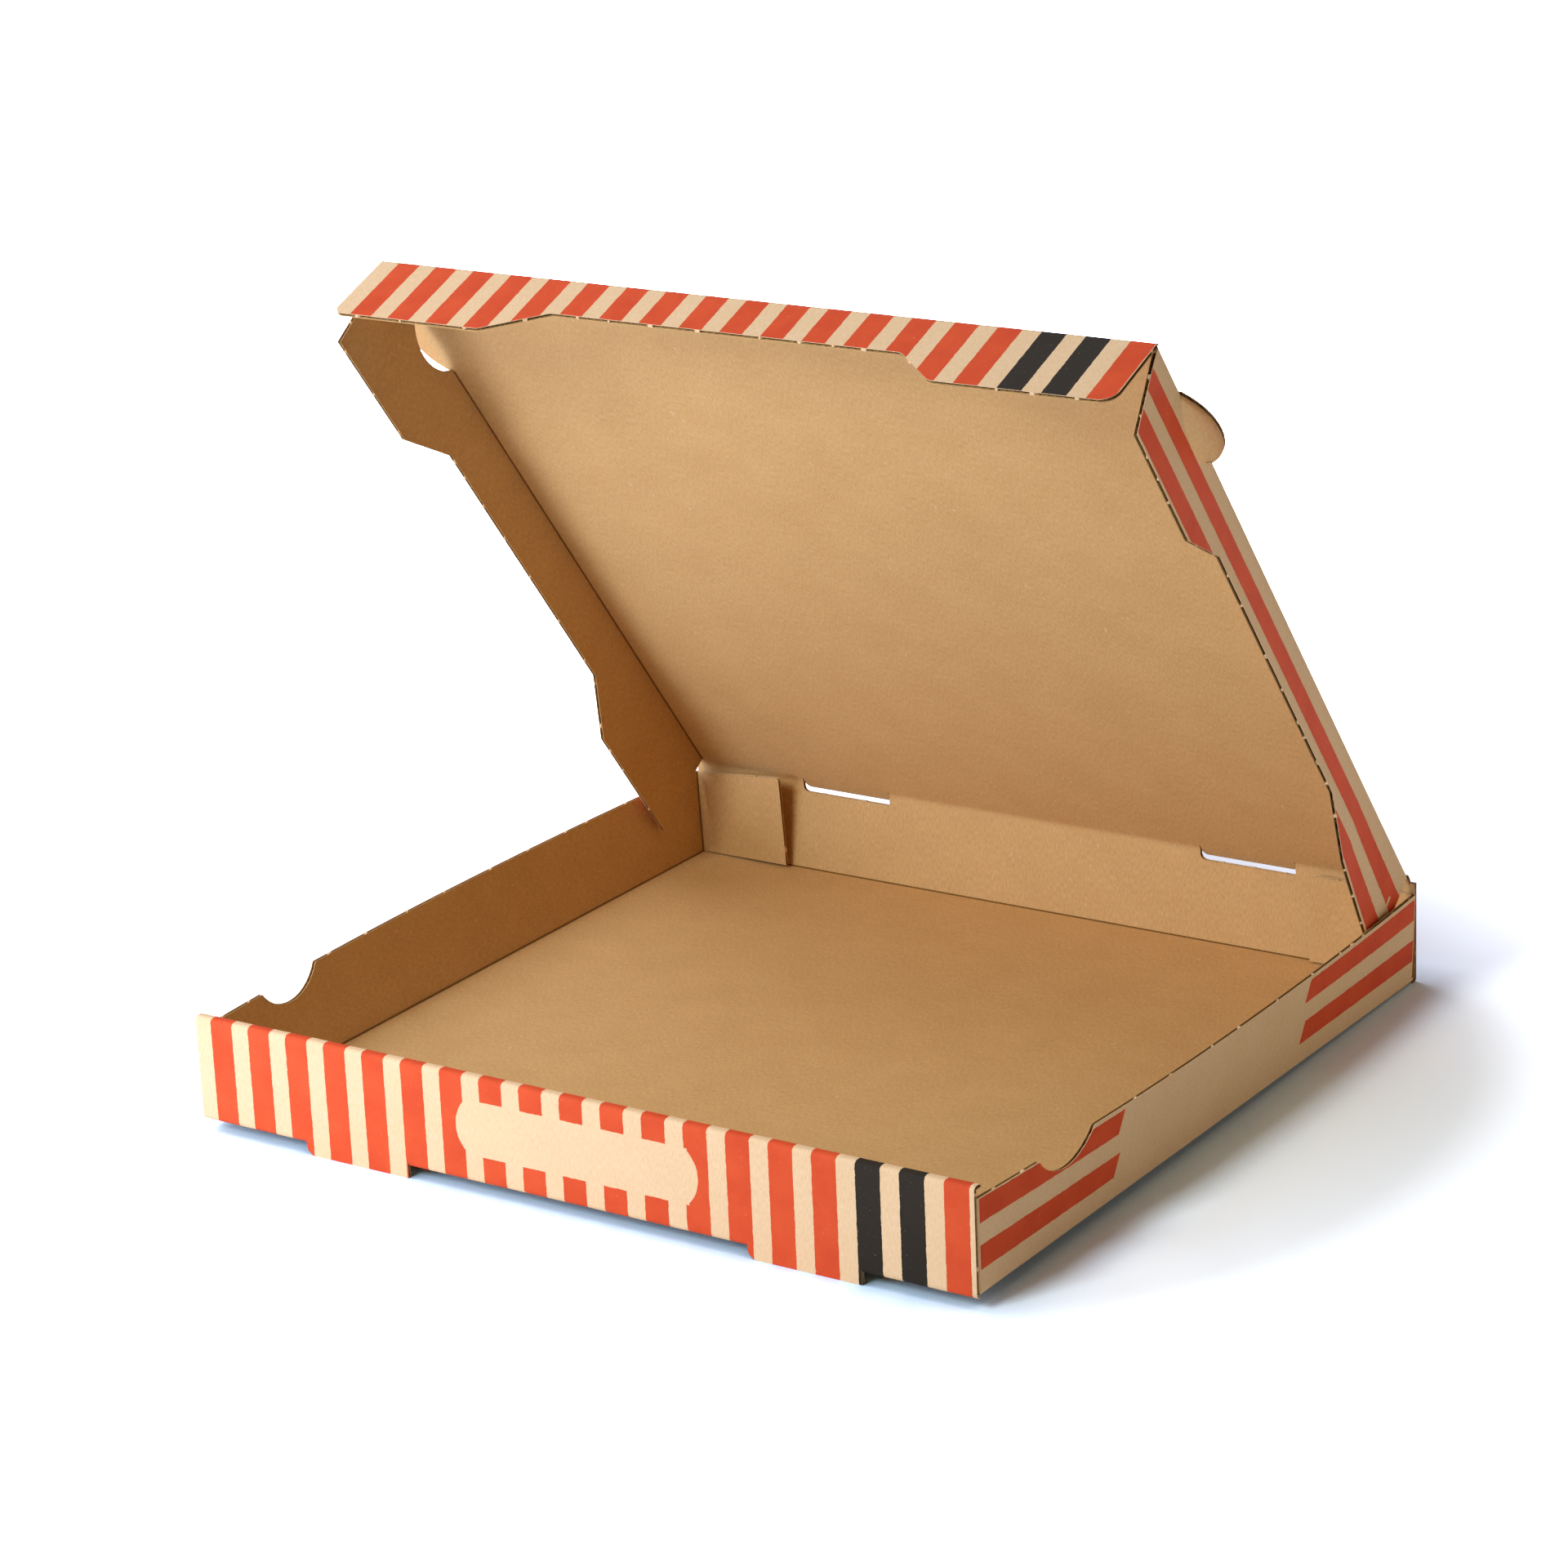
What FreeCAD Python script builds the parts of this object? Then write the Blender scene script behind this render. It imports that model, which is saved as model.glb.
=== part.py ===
import FreeCAD, Part
import Sketcher
import math
import os

# A carton for one flat round pie, die-cut from one sheet of fine corrugated board and folded up.
# Two bodies: the tray (floor, walls and the double front wall) and the lid with its three tuck flaps.
# +X is to the right, +Y to the back and +Z up. The origin is the centre of the tray's underside.

os.makedirs("parts", exist_ok=True)
doc = FreeCAD.newDocument("carton")
sheet = doc.addObject("Spreadsheet::Sheet", "Sizes")

# Driving dimensions, millimetres and degrees
DRIVING = [
    ("board", 1.5, "thickness of the corrugated board"),
    ("wide", 330.0, "outside width, along X"),
    ("deep", 326.0, "outside depth, along Y"),
    ("tall", 40.5, "height of the double front wall and of the lid's crease"),
    ("fold_gap", 0.15, "air between two folded layers"),
    ("side_inset", 0.4, "side walls stand this far inside the ends of the front wall"),
    ("side_drop", 4.0, "side walls end this far below the top of the front wall"),
    ("side_step", 1.2, "side wall ahead of the notch is lower by this"),
    ("notch_from_front", 38.5, "front end of the side wall's notch"),
    ("notch_long", 34.0, "length of the notch"),
    ("notch_round", 20.6, "radius of the notch"),
    ("foot_drop", 4.3, "feet of the front wall reach this far below the floor"),
    ("foot_long", 46.0, "length of a foot"),
    ("foot_left", 48.0, "left foot from the left end"),
    ("foot_right", 45.0, "right foot from the right end"),
    ("foot_slant", 1.3, "the left end of a foot leans in by this"),
    ("foot_round", 6.0, "radius of the left end of a foot"),
    ("lock_gap", 0.3, "air round the locking tabs in the floor slots"),
    ("front_tab_long", 60.0, "side wall's tab inside the double front wall"),
    ("rear_tab_long", 43.5, "side wall's tab in front of the back wall"),
    ("rear_tab_lift", 2.0, "the rear tab ends this far above the floor"),
    ("tab_round", 3.0, "radius of the free corners of the tabs"),
    ("slot_left", 53.0, "left slot of the crease from the left end"),
    ("slot_right", 51.0, "right slot of the crease from the right end"),
    ("slot_long", 41.0, "length of a slot"),
    ("tongue", 4.2, "length of the lid's tongue in each slot"),
    ("tongue_round", 2.4, "radius of the left corner of tongue and slot"),
    ("swing_gap", 0.35, "air round the tongue as it swings"),
    ("crease_gap", 0.3, "air between back wall and closed lid at the crease"),
    ("lid_open", 53.0, "opening of the lid at rest, from closed"),
    ("lid_gap", 0.4, "air between side flap and side wall"),
    ("lid_front_gap", 5.2, "air between closed lid and the double front wall"),
    ("floor_gap", 0.3, "air between closed side flap and floor"),
    ("flap_rear_gap", 0.8, "air between side flap and rear tab"),
    ("flap_foot_rear", 68.0, "rear deep part of a side flap ends here, from the crease"),
    ("flap_slope_rear", 24.0, "length of the rear slope of a side flap"),
    ("flap_foot_front", 58.0, "front deep part of a side flap starts here, from the lid's front"),
    ("flap_slope_front", 27.0, "length of the front slope of a side flap"),
    ("flap_waist_cut", 14.3, "the middle of a side flap is cut back by this"),
    ("flap_corner_gap", 0.4, "air between side flap and front flap"),
    ("ear_from_front", 26.0, "ear from the lid's front"),
    ("ear_long", 36.5, "length of an ear along the fold"),
    ("ear_round", 22.3, "radius of an ear"),
    ("ear_kerf", 0.3, "width of the cut between ear and side flap"),
    ("front_flap_short", 6.4, "the front flap ends this far above the tray's underside when closed"),
    ("front_waist_cut", 13.4, "the middle of the front flap is cut back by this"),
    ("front_deep_left", 65.5, "left deep part of the front flap"),
    ("front_slope_left", 24.0, "length of its left slope"),
    ("front_deep_right", 71.0, "right deep part of the front flap"),
    ("front_slope_right", 18.0, "length of its right slope"),
    ("front_flap_lean", 5.0, "the front flap leans out by this, in degrees"),
    ("front_corner_left", 4.0, "radius of the front flap's left corner"),
    ("front_corner_right", 6.0, "radius of the front flap's right corner"),
    ("roll_round", 1.2, "outside radius of the double wall's top folds"),
    ("bend_round", 1.0, "outside radius of the other folds"),
]

for row, (alias, value, remark) in enumerate(DRIVING, start=1):
    sheet.set("A%d" % row, str(value))
    sheet.setAlias("A%d" % row, alias)
    sheet.set("B%d" % row, remark)
doc.recompute()


def named(text):
    """Turn words of a formula into references to the sheet's cells."""
    for alias, _, _ in sorted(DRIVING, key=lambda item: -len(item[0])):
        text = text.replace("{%s}" % alias, "Sizes.%s" % alias)
    return text


# Places that several pieces share, as formulas of the driving dimensions
LEFT = named("(-{wide} / 2)")
RIGHT = named("({wide} / 2)")
FRONT = named("(-{deep} / 2)")
BACK = named("({deep} / 2)")
ROLL = named("(3 * {board} + 2 * {fold_gap})")
SIDE_OUT = named("({wide} / 2 - {side_inset})")
SIDE_IN = named("({wide} / 2 - {side_inset} - {board})")
SIDE_TOP = named("({tall} - {side_drop})")
SIDE_FRONT = named("(-{deep} / 2 + {board} + {fold_gap})")
SIDE_REAR = named("({deep} / 2 - {board} - {fold_gap})")
SLOT_EDGE = named("(-{deep} / 2 + 3 * {board} + 2 * {fold_gap} + {lock_gap})")
LID_HALF = named("({wide} / 2 - {side_inset} - {board} - {lid_gap})")
LID_DEEP = named("({deep} - 3 * {board} - 2 * {fold_gap} - {lid_front_gap})")
FLAP_DEEP = named("({tall} - {board} - {floor_gap})")
FLAP_REAR = named("(2 * {board} + {fold_gap} + {flap_rear_gap})")
FRONT_FLAP = named("({tall} - {front_flap_short})")
SWING = named("(sqrt({tongue} ^ 2 + {board} ^ 2) + {swing_gap})")


def new_body(name):
    """One folded piece of board."""
    body = doc.addObject("PartDesign::Body", name)
    body.Label = name
    return body


def plane(body, role):
    for feature in body.Origin.OriginFeatures:
        if feature.Role == role:
            return feature
    raise RuntimeError("no plane " + role)


def value_of(sketch, formula):
    result = sketch.evalExpression(formula)
    return float(getattr(result, "Value", result))


def arc_between(start, end, radius, side):
    """Arc from start to end, whose centre lies left (side 1) or right (side -1) of that way."""
    middle = (start + end) * 0.5
    way = end - start
    half = way.Length / 2
    reach = math.sqrt(max(radius ** 2 - half ** 2, 0.0))
    across = FreeCAD.Vector(-way.y, way.x, 0).normalize()
    centre = middle + across * (reach * side)
    low = math.atan2(start.y - centre.y, start.x - centre.x)
    high = math.atan2(end.y - centre.y, end.x - centre.x)
    circle = Part.Circle(centre, FreeCAD.Vector(0, 0, 1), radius)
    if side > 0:
        return Part.ArcOfCircle(circle, low, high), 1, 2
    return Part.ArcOfCircle(circle, high, low), 2, 1


def outline(body, name, role, offset, points):
    """Sketch with one closed outline. A point is (x, y), or (x, y, radius, side) before an arc."""
    sketch = body.newObject("Sketcher::SketchObject", name)
    sketch.AttachmentSupport = [(plane(body, role), "")]
    sketch.MapMode = "FlatFace"
    sketch.setExpression("AttachmentOffset.Base.z", offset)
    doc.recompute()
    corners = []
    for point in points:
        corners.append(FreeCAD.Vector(value_of(sketch, point[0]), value_of(sketch, point[1]), 0))
    ends = []
    for number, point in enumerate(points):
        start = corners[number]
        end = corners[(number + 1) % len(points)]
        if len(point) == 4:
            edge, first, last = arc_between(start, end, value_of(sketch, point[2]), point[3])
        else:
            edge, first, last = Part.LineSegment(start, end), 1, 2
        sketch.addGeometry(edge, False)
        ends.append((first, last))
    for number in range(len(points)):
        after = (number + 1) % len(points)
        join = Sketcher.Constraint("Coincident", number, ends[number][1], after, ends[after][0])
        sketch.addConstraint(join)
    for number, point in enumerate(points):
        for kind, formula in (("DistanceX", point[0]), ("DistanceY", point[1])):
            size = value_of(sketch, formula)
            place = Sketcher.Constraint(kind, -1, 1, number, ends[number][0], size)
            sketch.setExpression("Constraints[%d]" % sketch.addConstraint(place), formula)
        if len(point) == 4:
            size = value_of(sketch, point[2])
            bend = Sketcher.Constraint("Radius", number, size)
            sketch.setExpression("Constraints[%d]" % sketch.addConstraint(bend), point[2])
    doc.recompute()
    return sketch


def pad(body, name, sketch, length=named("{board}")):
    """Give an outline the thickness of the board, along the sketch's normal."""
    solid = body.newObject("PartDesign::Pad", name)
    solid.Profile = sketch
    solid.Type = "Length"
    solid.setExpression("Length", length)
    sketch.Visibility = False
    body.Tip = solid
    doc.recompute()
    return solid


def round_folds(body, name, radius, way, chosen):
    """Round the straight edges along a way whose two ends both satisfy the test."""
    base = body.Tip
    names = []
    for number, edge in enumerate(base.Shape.Edges, start=1):
        ends = [vertex.Point for vertex in edge.Vertexes]
        if len(ends) != 2 or (ends[1] - ends[0]).cross(way).Length > 0.01:
            continue
        if all(chosen(point) for point in ends):
            names.append("Edge%d" % number)
    if not names:
        raise RuntimeError(name + " found no edge")
    fold = body.newObject("PartDesign::Fillet", name)
    fold.Base = (base, names)
    fold.setExpression("Radius", radius)
    body.Tip = fold
    doc.recompute()
    return fold


ALONG_X = FreeCAD.Vector(1, 0, 0)
ALONG_Z = FreeCAD.Vector(0, 0, 1)


def size_of(alias):
    return float(sheet.get(alias))


def near(first, second):
    return abs(first - second) < 0.01


# Tray: floor. Its front edge is open at the feet, where the locking tabs of the inner wall go in
FOOT_SPANS = [
    (named("(-{wide} / 2 + {foot_left})"), named("(-{wide} / 2 + {foot_left} + {foot_long})")),
    (named("({wide} / 2 - {foot_right} - {foot_long})"), named("({wide} / 2 - {foot_right})")),
]
tray = new_body("tray")
floor_points = [("-" + SIDE_OUT, BACK), ("-" + SIDE_OUT, FRONT)]
for start, end in FOOT_SPANS:
    floor_points += [(start, FRONT), (start, SLOT_EDGE), (end, SLOT_EDGE), (end, FRONT)]
floor_points += [(SIDE_OUT, FRONT), (SIDE_OUT, BACK)]
pad(tray, "floor", outline(tray, "floor_outline", "XY_Plane", "0", floor_points))

# Tray: outer front wall with its two feet, which were cut out of the floor at the fold
front_points = [(LEFT, named("{tall}")), (LEFT, "0")]
for start, end in FOOT_SPANS:
    front_points.append((start, "0", named("{foot_round}"), -1))
    front_points.append(("(%s + %s)" % (start, named("{foot_slant}")), named("-{foot_drop}")))
    front_points.append((end, named("-{foot_drop}")))
    front_points.append((end, "0"))
front_points += [(RIGHT, "0"), (RIGHT, named("{tall}"))]
front_place = named("({deep} / 2 - {board})")
pad(tray, "front_wall", outline(tray, "front_outline", "XZ_Plane", front_place, front_points))

# Tray: flat top of the double wall, where the sheet rolls over
roll_low = named("({tall} - {board})")
roll_points = [(LEFT, named("{tall}")), (LEFT, roll_low), (RIGHT, roll_low), (RIGHT, named("{tall}"))]
roll_place = "({0} / 2 - {1})".format("Sizes.deep", ROLL)
pad(tray, "roll_top", outline(tray, "roll_outline", "XZ_Plane", roll_place, roll_points), ROLL)

# Tray: inner front wall, down to the floor, with a locking tab in each floor slot
inner_half = "({0} - {1})".format(SIDE_IN, "Sizes.fold_gap")
inner_points = [("-" + inner_half, roll_low), ("-" + inner_half, named("{board}"))]
for start, end in FOOT_SPANS:
    tab_start = "({0} + {1})".format(start, "Sizes.lock_gap")
    tab_end = "({0} - {1})".format(end, "Sizes.lock_gap")
    inner_points += [(tab_start, named("{board}")), (tab_start, "0")]
    inner_points += [(tab_end, "0"), (tab_end, named("{board}"))]
inner_points += [(inner_half, named("{board}")), (inner_half, roll_low)]
pad(tray, "inner_wall", outline(tray, "inner_outline", "XZ_Plane", roll_place, inner_points))

# Tray: side walls with the notch that the lid's ear drops over
notch_start = named("(-{deep} / 2 + {notch_from_front})")
notch_end = named("(-{deep} / 2 + {notch_from_front} + {notch_long})")
side_low_top = "({0} - {1})".format(SIDE_TOP, "Sizes.side_step")
for side, place in (("left", "-" + SIDE_OUT), ("right", SIDE_IN)):
    side_points = [
        (SIDE_FRONT, "0"),
        (SIDE_REAR, "0"),
        (SIDE_REAR, SIDE_TOP),
        (notch_end, SIDE_TOP, named("{notch_round}"), -1),
        (notch_start, side_low_top),
        (SIDE_FRONT, side_low_top),
    ]
    name = side + "_wall"
    pad(tray, name, outline(tray, name + "_outline", "YZ_Plane", place, side_points))


def tab_outline(sign, length, low, high):
    """Tab that turns in from a side wall: sign is -1 on the left and 1 on the right."""
    root = "({0} * {1})".format(sign, SIDE_OUT)
    tip = "({0} * ({1} - {2}))".format(sign, SIDE_OUT, length)
    shy = "({0} * ({1} - {2} + {3}))".format(sign, SIDE_OUT, length, "Sizes.tab_round")
    top = "({0} - {1})".format(high, "Sizes.tab_round")
    return [(root, low), (tip, low), (tip, top, "Sizes.tab_round", sign), (shy, high), (root, high)]


# Tray: the side walls' tabs, hidden inside the double front wall
front_tab_place = named("({deep} / 2 - 2 * {board} - {fold_gap})")
front_tab_low = named("({board} + {fold_gap})")
for side, sign in (("left", -1), ("right", 1)):
    points = tab_outline(sign, "Sizes.front_tab_long", front_tab_low, side_low_top)
    name = side + "_front_tab"
    pad(tray, name, outline(tray, name + "_outline", "XZ_Plane", front_tab_place, points))

# Tray: the side walls' tabs that stand in front of the back wall
rear_tab_place = "(-{0})".format(SIDE_REAR)
rear_tab_low = named("({board} + {rear_tab_lift})")
for side, sign in (("left", -1), ("right", 1)):
    points = tab_outline(sign, "Sizes.rear_tab_long", rear_tab_low, SIDE_TOP)
    name = side + "_rear_tab"
    pad(tray, name, outline(tray, name + "_outline", "XZ_Plane", rear_tab_place, points))

# Tray: back wall, cut away below the crease where the lid's tongues swing
SLOT_SPANS = [
    (named("(-{wide} / 2 + {slot_left})"), named("(-{wide} / 2 + {slot_left} + {slot_long})")),
    (named("({wide} / 2 - {slot_right} - {slot_long})"), named("({wide} / 2 - {slot_right})")),
]
wall_top = named("({tall} - {board} - {crease_gap})")
slot_low = "({0} - {1})".format("Sizes.tall", SWING)
back_points = [(RIGHT, "0"), (RIGHT, wall_top)]
for start, end in reversed(SLOT_SPANS):
    wide_start = "({0} - {1})".format(start, "Sizes.swing_gap")
    wide_end = "({0} + {1})".format(end, "Sizes.swing_gap")
    curl_side = "({0} + {1})".format(wide_start, "Sizes.tongue_round")
    curl_top = "({0} + {1})".format(slot_low, "Sizes.tongue_round")
    back_points += [(wide_end, wall_top), (wide_end, slot_low)]
    back_points += [(curl_side, slot_low, "Sizes.tongue_round", -1)]
    back_points += [(wide_start, curl_top), (wide_start, wall_top)]
back_points += [(LEFT, wall_top), (LEFT, "0")]
pad(tray, "back_wall", outline(tray, "back_outline", "XZ_Plane", "(-{0})".format(BACK), back_points))

# Tray: rounded folds along the top of the double wall, under the side walls and at the rear tabs
top_height = size_of("tall")
side_face = size_of("wide") / 2 - size_of("side_inset")
rear_bend = size_of("deep") / 2 - size_of("board") - size_of("fold_gap")
round_folds(tray, "roll_folds", "Sizes.roll_round", ALONG_X, lambda p: near(p.z, top_height))
round_folds(
    tray,
    "rear_bends",
    "Sizes.bend_round",
    ALONG_Z,
    lambda p: near(abs(p.x), side_face) and near(p.y, rear_bend) and p.z > size_of("board") / 2,
)


# Lid: built flat about its crease, then turned open. The panel lies below the hinge line's height
lid = new_body("lid")
EAR_FRONT = "({0} - {1})".format(LID_DEEP, "Sizes.ear_from_front")
EAR_REAR = "({0} - {1} - {2})".format(LID_DEEP, "Sizes.ear_from_front", "Sizes.ear_long")
panel_points = [
    ("-" + LID_HALF, "-" + LID_DEEP),
    (LID_HALF, "-" + LID_DEEP),
    (LID_HALF, "-" + EAR_FRONT, "Sizes.ear_round", 1),
    (LID_HALF, "-" + EAR_REAR),
    (LID_HALF, "0"),
]
for start, end in reversed(SLOT_SPANS):
    curl_side = "({0} + {1})".format(start, "Sizes.tongue_round")
    curl_top = "({0} - {1})".format("Sizes.tongue", "Sizes.tongue_round")
    panel_points += [(end, "0"), (end, "Sizes.tongue")]
    panel_points += [(curl_side, "Sizes.tongue", "Sizes.tongue_round", 1), (start, curl_top), (start, "0")]
panel_points += [
    ("-" + LID_HALF, "0"),
    ("-" + LID_HALF, "-" + EAR_REAR, "Sizes.ear_round", 1),
    ("-" + LID_HALF, "-" + EAR_FRONT),
]
pad(lid, "lid_panel", outline(lid, "panel_outline", "XY_Plane", named("-{board}"), panel_points))

# Lid: side flaps, deep at both ends, with the hole that the ear was cut from
flap_front = "({0} - {1} - {2})".format(LID_DEEP, "Sizes.board", "Sizes.flap_corner_gap")
flap_knee_front = "({0} - {1})".format(LID_DEEP, "Sizes.flap_foot_front")
flap_waist_front = "({0} - {1} - {2})".format(LID_DEEP, "Sizes.flap_foot_front", "Sizes.flap_slope_front")
flap_waist_rear = named("({flap_foot_rear} + {flap_slope_rear})")
flap_waist = "({0} - {1})".format(FLAP_DEEP, "Sizes.flap_waist_cut")
hole_front = "({0} + {1})".format(EAR_FRONT, "Sizes.ear_kerf")
hole_rear = "({0} - {1})".format(EAR_REAR, "Sizes.ear_kerf")
hole_round = named("({ear_round} + {ear_kerf})")
for side, place in (("left", "-" + LID_HALF), ("right", "({0} - {1})".format(LID_HALF, "Sizes.board"))):
    flap_points = [
        ("-" + flap_front, "0"),
        ("-" + flap_front, "-" + FLAP_DEEP),
        ("-" + flap_knee_front, "-" + FLAP_DEEP),
        ("-" + flap_waist_front, "-" + flap_waist),
        ("-" + flap_waist_rear, "-" + flap_waist),
        (named("-{flap_foot_rear}"), "-" + FLAP_DEEP),
        ("-" + FLAP_REAR, "-" + FLAP_DEEP),
        ("-" + FLAP_REAR, "0"),
        ("-" + hole_rear, "0", hole_round, -1),
        ("-" + hole_front, "0"),
    ]
    name = side + "_flap"
    pad(lid, name, outline(lid, name + "_outline", "YZ_Plane", place, flap_points))

# Lid: front tuck flap, deep at both ends, its right corner cut round. It leans out about its fold,
# and its thickness lies inside the outline's plane
front_waist = "({0} - {1})".format(FRONT_FLAP, "Sizes.front_waist_cut")
left_knee = "(-{0} + {1})".format(LID_HALF, "Sizes.front_deep_left")
left_waist = "(-{0} + {1} + {2})".format(LID_HALF, "Sizes.front_deep_left", "Sizes.front_slope_left")
right_knee = "({0} - {1})".format(LID_HALF, "Sizes.front_deep_right")
right_waist = "({0} - {1} - {2})".format(LID_HALF, "Sizes.front_deep_right", "Sizes.front_slope_right")
front_flap_points = [
    ("-" + LID_HALF, "0"),
    ("-" + LID_HALF, "-({0} - {1})".format(FRONT_FLAP, "Sizes.front_corner_left"), "Sizes.front_corner_left", 1),
    ("(-{0} + {1})".format(LID_HALF, "Sizes.front_corner_left"), "-" + FRONT_FLAP),
    (left_knee, "-" + FRONT_FLAP),
    (left_waist, "-" + front_waist),
    (right_waist, "-" + front_waist),
    (right_knee, "-" + FRONT_FLAP),
    (
        "({0} - {1})".format(LID_HALF, "Sizes.front_corner_right"),
        "-" + FRONT_FLAP,
        "Sizes.front_corner_right",
        1,
    ),
    (LID_HALF, "-({0} - {1})".format(FRONT_FLAP, "Sizes.front_corner_right")),
    (LID_HALF, "0"),
]
front_flap_outline = outline(lid, "front_flap_outline", "XZ_Plane", LID_DEEP, front_flap_points)
front_turn = FreeCAD.Rotation(FreeCAD.Vector(-1, 0, 0), size_of("front_flap_lean"))
front_flap_outline.AttachmentOffset = FreeCAD.Placement(front_flap_outline.AttachmentOffset.Base, front_turn)
front_flap_outline.setExpression("AttachmentOffset.Rotation.Angle", "Sizes.front_flap_lean")
front_flap = pad(lid, "front_flap", front_flap_outline)
front_flap.Reversed = True
doc.recompute()

# Lid: turned open about the crease line at the top outer corner of the back wall
turn = FreeCAD.Rotation(FreeCAD.Vector(-1, 0, 0), size_of("lid_open"))
lid.Placement = FreeCAD.Placement(FreeCAD.Vector(0, size_of("deep") / 2, top_height), turn)
lid.setExpression("Placement.Base.y", BACK)
lid.setExpression("Placement.Base.z", "Sizes.tall")
lid.setExpression("Placement.Rotation.Angle", "Sizes.lid_open")
doc.recompute()

# Every object has to be sound before anything is written
for item in doc.Objects:
    if "Invalid" in item.State or "Error" in item.State:
        raise RuntimeError("failed: " + item.Name)
for body in (tray, lid):
    shape = body.Shape
    if shape.isNull() or not shape.isValid():
        raise RuntimeError("bad shape: " + body.Label)
    print(body.Label, len(shape.Solids), "solid", round(shape.Volume / 1000, 2), "cm3", shape.BoundBox)
    shape.exportStep("parts/%s.step" % body.Label)
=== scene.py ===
# %% [markdown]
# # A printed carton for a flat round pie
#
# The real thing is one sheet of thin corrugated board. It is printed on one side, die-cut, and folded
# up by hand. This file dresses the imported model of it: the same sheet again, but with its paper layers,
# its rounded folds, its print and its fluted edges. Every length below is in millimetres until a mesh
# is made, because that is how a die maker's drawing is written.

# %% The frame
import bpy
import bmesh
import math
import random
from mathutils import Matrix, Vector


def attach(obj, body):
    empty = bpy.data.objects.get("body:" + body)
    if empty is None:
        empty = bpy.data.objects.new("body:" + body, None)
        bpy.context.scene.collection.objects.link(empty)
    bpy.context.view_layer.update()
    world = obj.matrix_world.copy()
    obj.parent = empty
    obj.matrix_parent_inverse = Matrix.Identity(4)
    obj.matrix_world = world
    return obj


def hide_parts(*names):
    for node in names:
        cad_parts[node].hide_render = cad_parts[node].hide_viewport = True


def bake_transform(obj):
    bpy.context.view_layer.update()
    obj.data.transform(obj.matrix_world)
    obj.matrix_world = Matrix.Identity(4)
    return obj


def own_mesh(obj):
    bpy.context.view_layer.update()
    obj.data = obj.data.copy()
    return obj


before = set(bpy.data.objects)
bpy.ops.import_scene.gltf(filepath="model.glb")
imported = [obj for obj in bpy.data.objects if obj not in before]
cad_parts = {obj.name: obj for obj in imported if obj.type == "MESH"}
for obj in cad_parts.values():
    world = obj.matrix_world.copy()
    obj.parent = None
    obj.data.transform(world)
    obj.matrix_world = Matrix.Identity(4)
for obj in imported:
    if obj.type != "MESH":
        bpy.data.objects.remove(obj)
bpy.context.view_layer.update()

# %% [markdown]
# ## Sizes of the blank
#
# The board is a sandwich: two flat papers, the liners, with a wavy paper between them, the fluting.
# A fold in it is never sharp. The outer liner runs round in a small arc, and the inner one is crushed.

# %% Sizes
BOARD = 1.5
LINER = 0.2
FOLD = 2.0
ROLL = 1.7
FLUTE = 3.2
WIDE = 330.0
DEEP = 326.0
TALL = 40.5
SIDE_OUT = 164.6
SIDE_TOP = 36.5
SIDE_END = 161.35
LID_HALF = 162.7
LID_DEEP = 316.0
LID_OPEN = math.radians(53.0)
QUARTER = math.pi / 2
BEND_START = FOLD - FOLD * QUARTER
FOOT_SPANS = [(-117.0, -71.0), (74.0, 120.0)]
SLOT_SPANS = [(-112.0, -71.0), (73.0, 114.0)]
print("one fold takes", round(FOLD * QUARTER, 2), "mm of sheet")

# %% [markdown]
# ## Outlines
#
# Each panel starts as a flat outline, as on the die. A corner can be rounded, and each side is either
# a cut, where the fluting shows, or a fold, where the sheet goes on into the next panel. Die-cut arcs
# are drawn with the same radius and ends as in the source of the part.

# %% Outline helpers
def arc(start, end, radius, side, steps=14):
    """Points from start up to end along an arc whose centre is left (1) or right (-1) of the way."""
    start, end = Vector(start), Vector(end)
    way = end - start
    reach = math.sqrt(radius ** 2 - (way.length / 2) ** 2)
    across = Vector((-way.y, way.x)).normalized()
    centre = (start + end) / 2 + across * reach * side
    low = math.atan2(start.y - centre.y, start.x - centre.x)
    high = math.atan2(end.y - centre.y, end.x - centre.x)
    sweep = (high - low) % (2 * math.pi) if side > 0 else -((low - high) % (2 * math.pi))
    points = []
    for step in range(steps):
        angle = low + sweep * step / steps
        points.append((centre.x + radius * math.cos(angle), centre.y + radius * math.sin(angle), 0, "cut"))
    return points


def outline(corners, steps=6):
    """Closed outline from (x, y, radius, kind) corners, as a list of (x, y, kind)."""
    corners = [tuple(c) + (0, "cut")[len(c) - 2:] for c in corners]
    points = []
    for number, (x, y, radius, kind) in enumerate(corners):
        here = Vector((x, y))
        if not radius:
            points.append((x, y, kind))
            continue
        before = Vector(corners[number - 1][:2]) - here
        after = Vector(corners[(number + 1) % len(corners)][:2]) - here
        half = before.angle(after) / 2
        set_back = radius / math.tan(half)
        first = here + before.normalized() * set_back
        last = here + after.normalized() * set_back
        centre = here + (before.normalized() + after.normalized()).normalized() * radius / math.sin(half)
        for step in range(steps + 1):
            spot = first.lerp(last, step / steps)
            spot = centre + (spot - centre).normalized() * radius
            points.append((spot.x, spot.y, kind if step == steps else "cut"))
    area = sum(a[0] * b[1] - b[0] * a[1] for a, b in zip(points, points[1:] + points[:1]))
    if area < 0:
        kinds = [p[2] for p in points]
        points = [p[:2] + (kinds[n - 1],) for n, p in enumerate(points)][::-1]
    return points


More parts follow.
